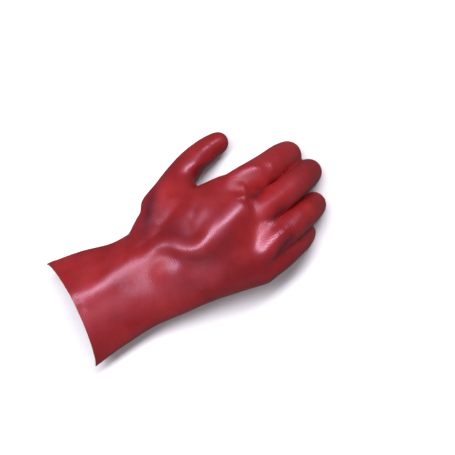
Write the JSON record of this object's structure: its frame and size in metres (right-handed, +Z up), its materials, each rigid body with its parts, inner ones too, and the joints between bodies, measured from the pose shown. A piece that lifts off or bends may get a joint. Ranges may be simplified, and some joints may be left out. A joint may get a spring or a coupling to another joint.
{
  "type": "pvc coated work glove",
  "caption": "Red PVC coated knit work glove with a long flared cuff, right hand, lying palm down with curled fingers and an open, hollow inside.",
  "frame": {"origin": "on the floor, under the middle of the glove's bounding box", "axes": "+Z up out of the back of the hand, +Y from the cuff towards the fingertips, -X towards the thumb"},
  "size_m": [0.143, 0.2516, 0.0717],
  "materials": {
    "coated_knit": "satin red PVC plastisol dipped over cotton interlock knit, off-white knit inside"
  },
  "bodies": {
    "root": {"glove_shell": "coated_knit"}
  },
  "joints": []
}
